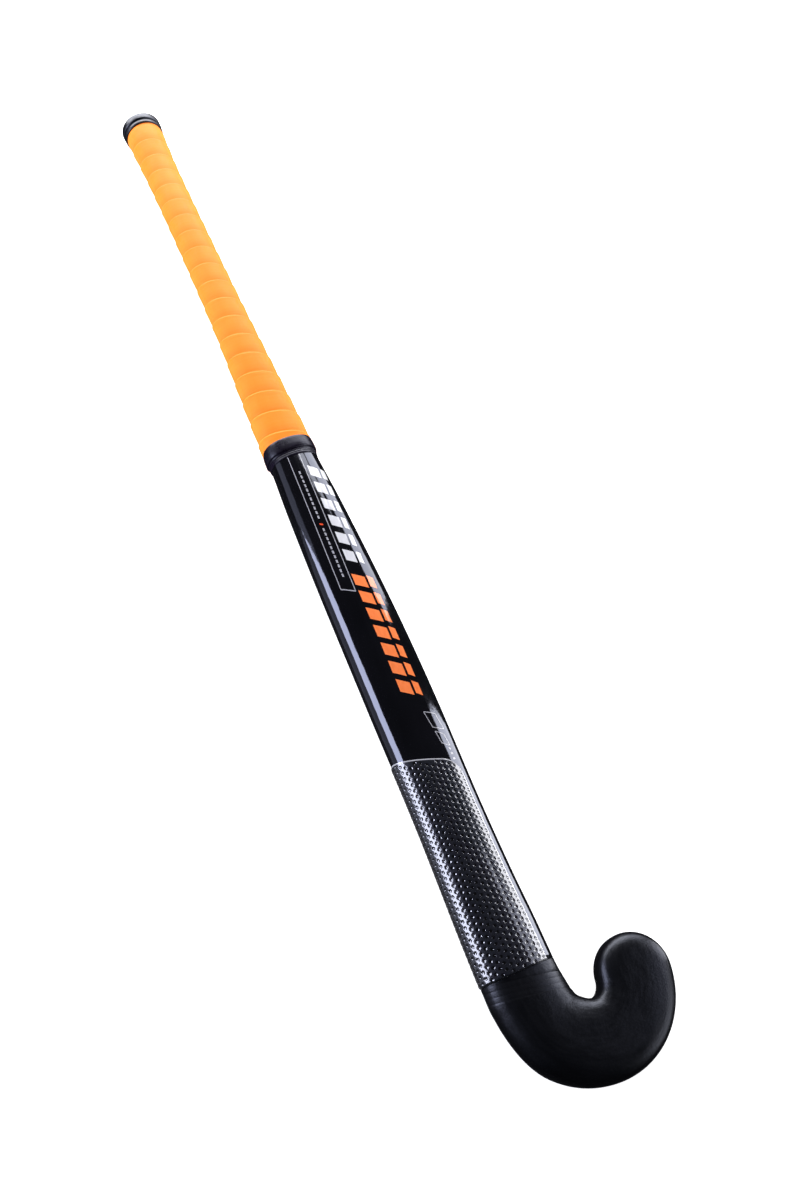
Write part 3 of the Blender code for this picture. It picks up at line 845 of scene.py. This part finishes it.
def make_prints():
    """Bars, thin rules, dashes, boxes and dots on the lacquer."""
    white = ink_look("white_ink", (0.58, 0.58, 0.61), (0.66, 0.66, 0.69))
    orange = ink_look("orange_ink", (0.87, 0.200, 0.055), (0.93, 0.235, 0.070))
    grey = ink_look("silver_grey_ink", (0.30, 0.30, 0.33), (0.38, 0.38, 0.42))
    red = ink_look("red_ink", (0.75, 0.07, 0.02), (0.80, 0.09, 0.03))
    add_print("print_white_bars", runs_of_bars(WHITE_RUNS), white)
    add_print("print_orange_bars", runs_of_bars(ORANGE_RUNS), orange)
    frame_lines = [
        line((0.4640, -0.0059), (0.3473, -0.0102), LINE_WIDTH),
        line((0.4640, 0.0031), (0.3420, -0.0013), LINE_WIDTH),
        ((0.3476, -0.0103), (0.3468, -0.0105), (0.3413, -0.0013), (0.3421, -0.0011)),
    ]
    dots = []
    for k in range(3):
        height = 0.2185 - 0.0035 * k
        dots.append(line((height, 0.0150), (height - 0.0015, 0.0152), 0.0015))
    shapes = frame_lines + runs_of_bars(DASH_RUNS) + outlined_boxes() + dots
    add_print("print_grey_lines", shapes, grey)
    slash = bar((0.4012, -0.0050), (0.3998, -0.0050), 0.0, 0.0022, 0.0006)
    add_print("print_red_slash", [slash], red)


def dress_wood():
    """Give the hidden wooden core its grain, each piece in one of four shades."""
    for name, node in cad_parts.items():
        if name.startswith(("head_lamination", "handle_stave")):
            shade = 0.92 + 0.05 * (sum(map(ord, name)) % 4)
            dark = tuple(shade * c for c in (0.34, 0.21, 0.10))
            light = tuple(shade * c for c in (0.60, 0.43, 0.24))
            node.data.materials.clear()
            node.data.materials.append(wood_look(f"{name}_wood", dark, light))


# ---- floor, light and camera -------------------------------------------------------------------
FLOOR_REACH = 6.0


def make_floor(height):
    """Pale floor that glows a little and stays out of the gloss."""
    data = bpy.data.meshes.new("studio_floor")
    corners = [
        (FLOOR_REACH * x, FLOOR_REACH * y, height) for x, y in ((-1, -1), (1, -1), (1, 1), (-1, 1))
    ]
    data.from_pydata(corners, [], [range(4)])
    look = make_look(
        "pale_studio_floor", (0.86, 0.86, 0.86), (0.90, 0.90, 0.90),
        (1.5, 1.5, 1.5), (0.7, 0.8), [], source="object", Specular_IOR_Level=0.1,
        Emission_Color=(1.0, 1.0, 1.0, 1.0), Emission_Strength=0.85,
    )
    data.materials.append(look)
    floor = bpy.data.objects.new("studio_floor", data)
    floor.visible_glossy = False
    bpy.context.scene.collection.objects.link(floor)
    floor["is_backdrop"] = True


def softbox(name, centre, aim, width, height, radiance, colour):
    """A rectangular studio light; radiance is relative to white."""
    data = bpy.data.lights.new(name, "AREA")
    data.shape = "RECTANGLE"
    data.size, data.size_y = width, height
    data.energy = radiance * math.pi * width * height
    data.color = colour
    light = bpy.data.objects.new(name, data)
    light.location = centre
    light.rotation_euler = (Vector(aim) - Vector(centre)).to_track_quat("-Z", "Y").to_euler()
    light.visible_camera = False
    bpy.context.scene.collection.objects.link(light)


def make_lights():
    """Softboxes round the stick: name, centre, aim, width, height, radiance, colour."""
    cool, soft, white = (0.79, 0.82, 1.0), (0.95, 0.955, 1.0), (1.0, 1.0, 1.0)
    for name, *settings in (
        ("left", (-1.15, 0.125, 0.54), (-0.03, 0.125, 0.54), 1.03, 0.70, 7.8, cool),
        ("low_left", (-1.15, 0.130, -0.37), (-0.03, 0.130, -0.37), 1.02, 1.08, 0.35, cool),
        ("far_left", (-1.15, 0.93, 0.45), (-0.03, 0.93, 0.45), 0.55, 0.88, 0.6, cool),
        ("right", (1.10, -0.20, 0.33), (-0.03, -0.20, 0.33), 0.46, 1.12, 6.0, soft),
        ("lower_right", (1.00, -1.05, 0.50), (0.0, -0.40, 0.0), 0.80, 0.80, 2.5, soft),
        ("upper_right", (1.00, 0.85, 0.50), (-0.03, 0.45, 0.10), 0.90, 0.90, 5.0, soft),
        ("head", (0.95, -0.52, 1.05), (0.0, -0.42, 0.0), 0.36, 0.80, 1.3, cool),
        ("high_back", (0.40, 1.40, 1.20), (-0.03, 0.0, 0.0), 1.3, 0.75, 4.2, white),
        ("back", (-0.05, 1.45, 0.58), (-0.05, -0.15, 0.0), 2.1, 0.66, 9.0, white),
    ):
        softbox(f"{name}_softbox", *settings)


def make_world():
    """A pale backdrop to the eye, and a dark room to the gloss."""
    world = bpy.data.worlds.new("studio_world")
    world.use_nodes = True
    tree = world.node_tree
    tree.nodes.clear()
    pale = add_node(tree, "Background", None, Color=(0.86, 0.86, 0.87, 1.0), Strength=1.0)
    dim = add_node(tree, "Background", None, Color=(0.9, 0.92, 1.0, 1.0), Strength=0.02)
    seen = add_node(tree, "LightPath").outputs["Is Camera Ray"]
    mixed = add_node(tree, "MixShader", None, Fac=seen, i1=dim.outputs[0], i2=pale.outputs[0])
    add_node(tree, "OutputWorld", None, Surface=mixed.outputs[0])
    bpy.context.scene.world = world
    bpy.context.scene.view_settings.view_transform = "Standard"


def make_camera():
    """Camera above the heel side, looking up the stick."""
    data = bpy.data.cameras.new("camera")
    data.sensor_width = 36.0
    data.lens = 31.28
    data.shift_x, data.shift_y = 0.0341, -0.0095
    camera = bpy.data.objects.new("camera", data)
    camera.location = (-0.1926, -0.3855, 0.6772)
    camera.rotation_euler = [math.radians(turn) for turn in (27.777, -3.246, -22.190)]
    bpy.context.scene.collection.objects.link(camera)
    bpy.context.scene.camera = camera


make_camera()
make_lights()
make_world()
make_head()
make_bands()
make_shaft()
make_grip()
make_tape()
make_cap()
make_film()
make_prints()
dress_wood()

bpy.context.view_layer.update()
make_floor(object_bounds()[0][2] - GAP)
